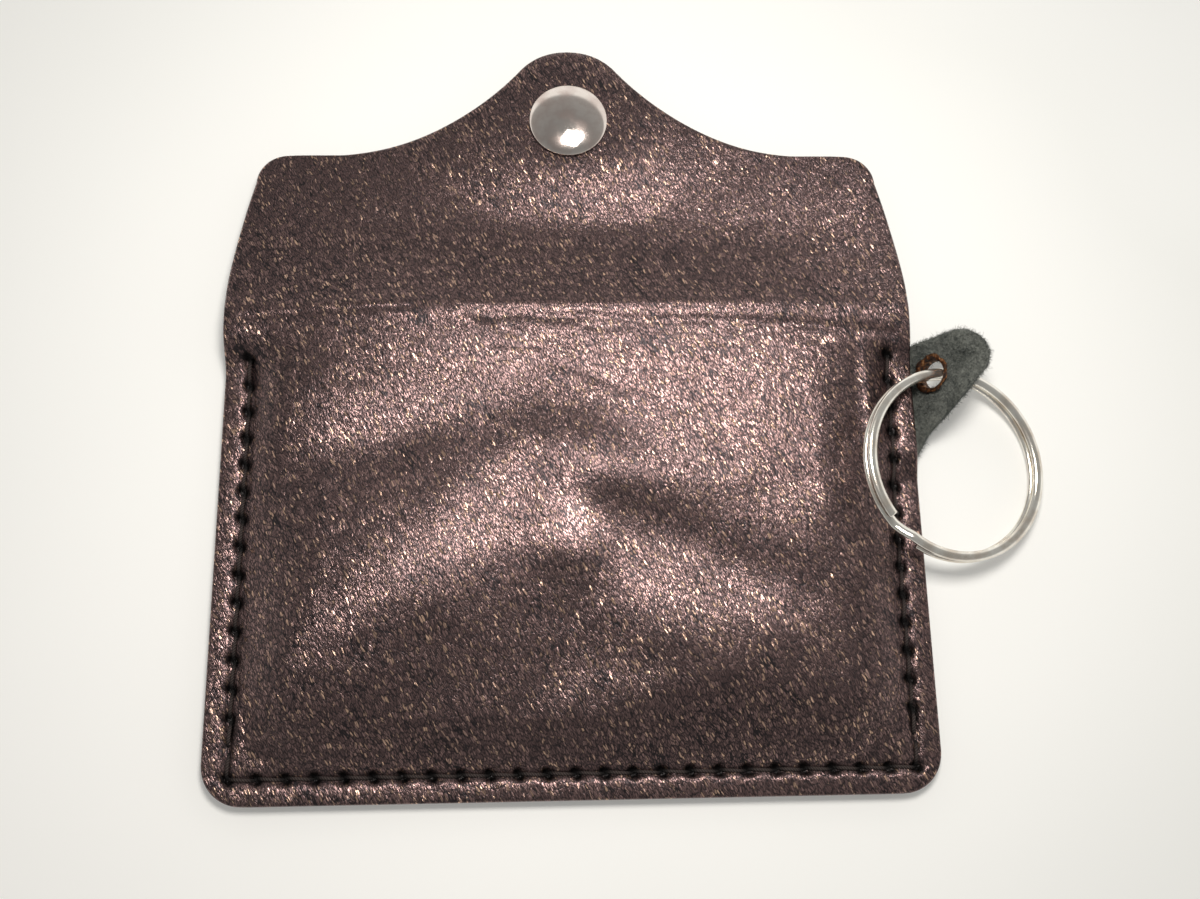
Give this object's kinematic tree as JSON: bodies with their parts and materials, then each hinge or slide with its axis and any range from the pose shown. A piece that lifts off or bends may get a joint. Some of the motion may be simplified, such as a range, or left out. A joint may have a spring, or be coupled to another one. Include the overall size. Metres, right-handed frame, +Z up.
{
  "type": "keychain card wallet",
  "caption": "Leather card wallet with a sewn pocket, a fold-over flap that snaps shut, and a split key ring on a suede tab at its side.",
  "frame": {"origin": "on the flat outer face of the front panel, on the centre line, 9 mm above the bottom edge; the wallet lies on that face", "axes": "+X towards the key ring, +Y from the pocket's bottom edge to the flap, +Z up, away from the front panel"},
  "size_m": [0.1257, 0.1188, 0.0094],
  "materials": {
    "bronze_leather": "metallic pebbled grain",
    "grey_suede": "suede",
    "aged_bronze": "worn",
    "nickel": "polished nickel",
    "spring_steel": "plain",
    "waxed_thread": "waxed"
  },
  "bodies": {
    "wallet": {"back_panel": "bronze_leather", "front_panel": "bronze_leather", "tab_root": "grey_suede", "snap_stud": "nickel", "snap_eyelet": "nickel", "seam_thread_a": "waxed_thread", "seam_thread_b": "waxed_thread"},
    "fold": {"fold_strip": "bronze_leather"},
    "flap": {"flap": "bronze_leather", "snap_cap": "nickel", "snap_socket": "nickel", "socket_spring": "spring_steel"},
    "tab": {"key_tab": "grey_suede", "tab_eyelet": "aged_bronze"},
    "ring": {"key_ring": "nickel"}
  },
  "joints": [
    {"name": "fold_hinge", "type": "hinge", "parent": "wallet", "child": "fold", "pos_m": [0, 0.0615, 0.004], "axis": [-1, 0, 0], "range_deg": [0, 90]},
    {"name": "flap_hinge", "type": "hinge", "parent": "fold", "child": "flap", "pos_m": [0, 0.0669, 0.0037], "axis": [-1, 0, 0], "range_deg": [0, 90]},
    {"name": "tab_flex", "type": "hinge", "parent": "wallet", "child": "tab", "pos_m": [0.053, 0.05025, 0.0013], "axis": [0, 1, 0], "range_deg": [0, 75]},
    {"name": "ring_swing", "type": "hinge", "parent": "tab", "child": "ring", "pos_m": [0.056, 0.053, 0.00523], "axis": [-0.9609, -0.1392, 0.2396], "range_deg": [0, 160]}
  ],
  "couplings": [
    {"joint": "fold_hinge", "follows": "flap_hinge", "ratio": 1}
  ]
}
